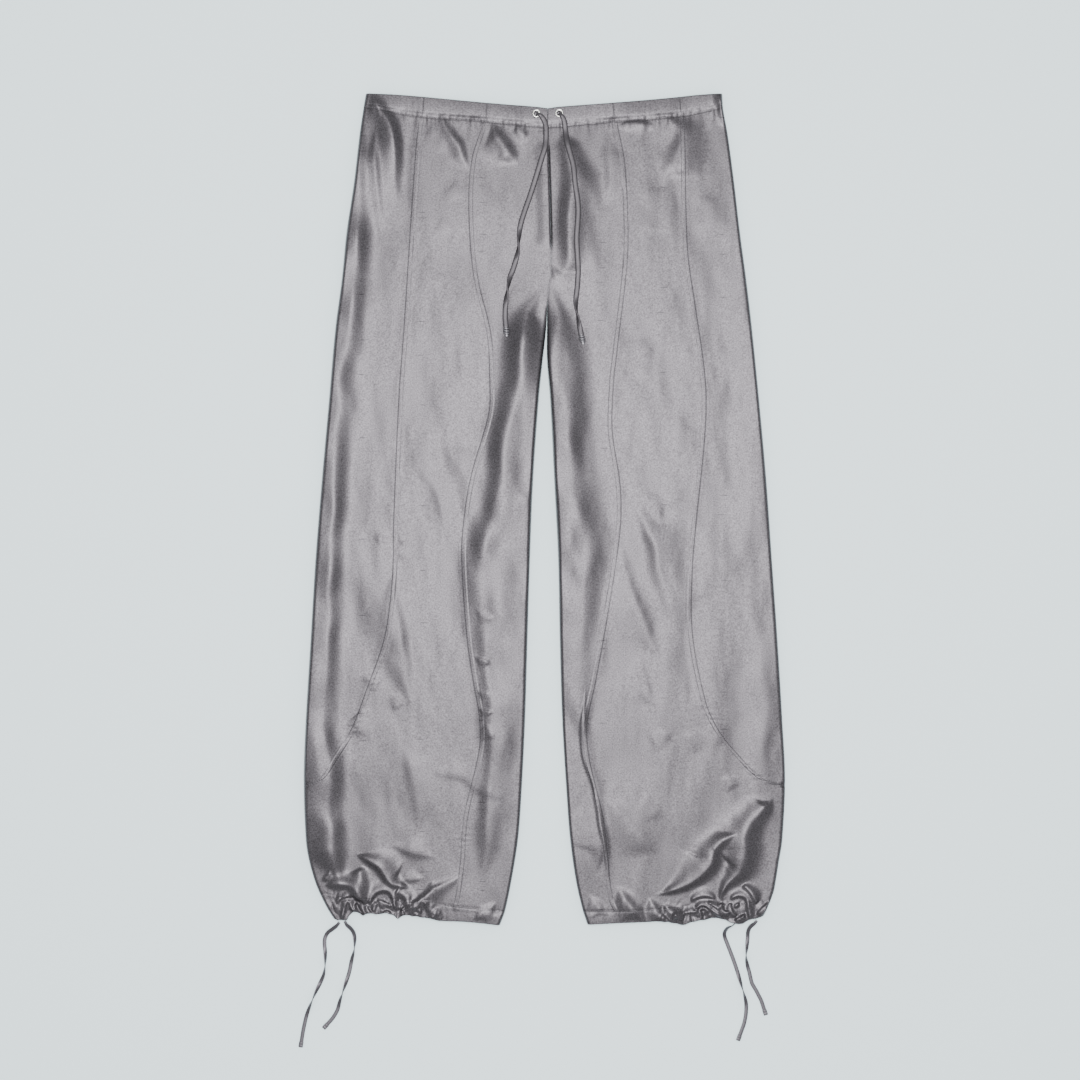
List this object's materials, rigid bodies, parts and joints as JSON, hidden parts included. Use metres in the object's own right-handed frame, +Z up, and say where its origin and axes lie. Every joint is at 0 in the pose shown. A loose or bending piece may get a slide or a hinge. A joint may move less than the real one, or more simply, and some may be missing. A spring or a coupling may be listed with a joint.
{
  "type": "drawstring track pants lying flat",
  "caption": "Wide-leg satin track pants with panelled legs, a drawstring waist through eyelets and gathered drawcord hems, lying flat front up",
  "frame": {"origin": "on the surface it lies on, under the middle of the garment's own extent without its free drawcords", "axes": "+X is the wearer's left, +Y runs from the hems to the waist, +Z is up out of the surface, through the front of the garment"},
  "size_m": [0.6089, 1.1942, 0.02],
  "materials": {
    "satin": "silver-grey satin with a soft sheen",
    "drawcord": "grey satin tape, folded flat",
    "nickel": "polished nickel plate"
  },
  "bodies": {
    "root": {"front_inner_right": "satin", "front_centre_right": "satin", "side_right": "satin", "back_right": "satin", "front_inner_left": "satin", "front_centre_left": "satin", "side_left": "satin", "back_left": "satin", "band_inner_right": "satin", "band_centre_right": "satin", "band_side_right": "satin", "band_back_right": "satin", "band_inner_left": "satin", "band_centre_left": "satin", "band_side_left": "satin", "band_back_left": "satin", "hem_centre_right": "satin", "hem_inner_right": "satin", "hem_back_right": "satin", "hem_centre_left": "satin", "hem_inner_left": "satin", "hem_back_left": "satin", "eyelet_right": "nickel", "eyelet_left": "nickel", "waist_cord_right": "drawcord", "waist_knot_right": "drawcord", "waist_cord_left": "drawcord", "waist_knot_left": "drawcord", "hem_cord_right_outer": "drawcord", "hem_knot_right_outer": "drawcord", "hem_cord_right_inner": "drawcord", "hem_knot_right_inner": "drawcord", "hem_cord_left_inner": "drawcord", "hem_knot_left_inner": "drawcord", "hem_cord_left_outer": "drawcord", "hem_knot_left_outer": "drawcord"}
  },
  "joints": []
}
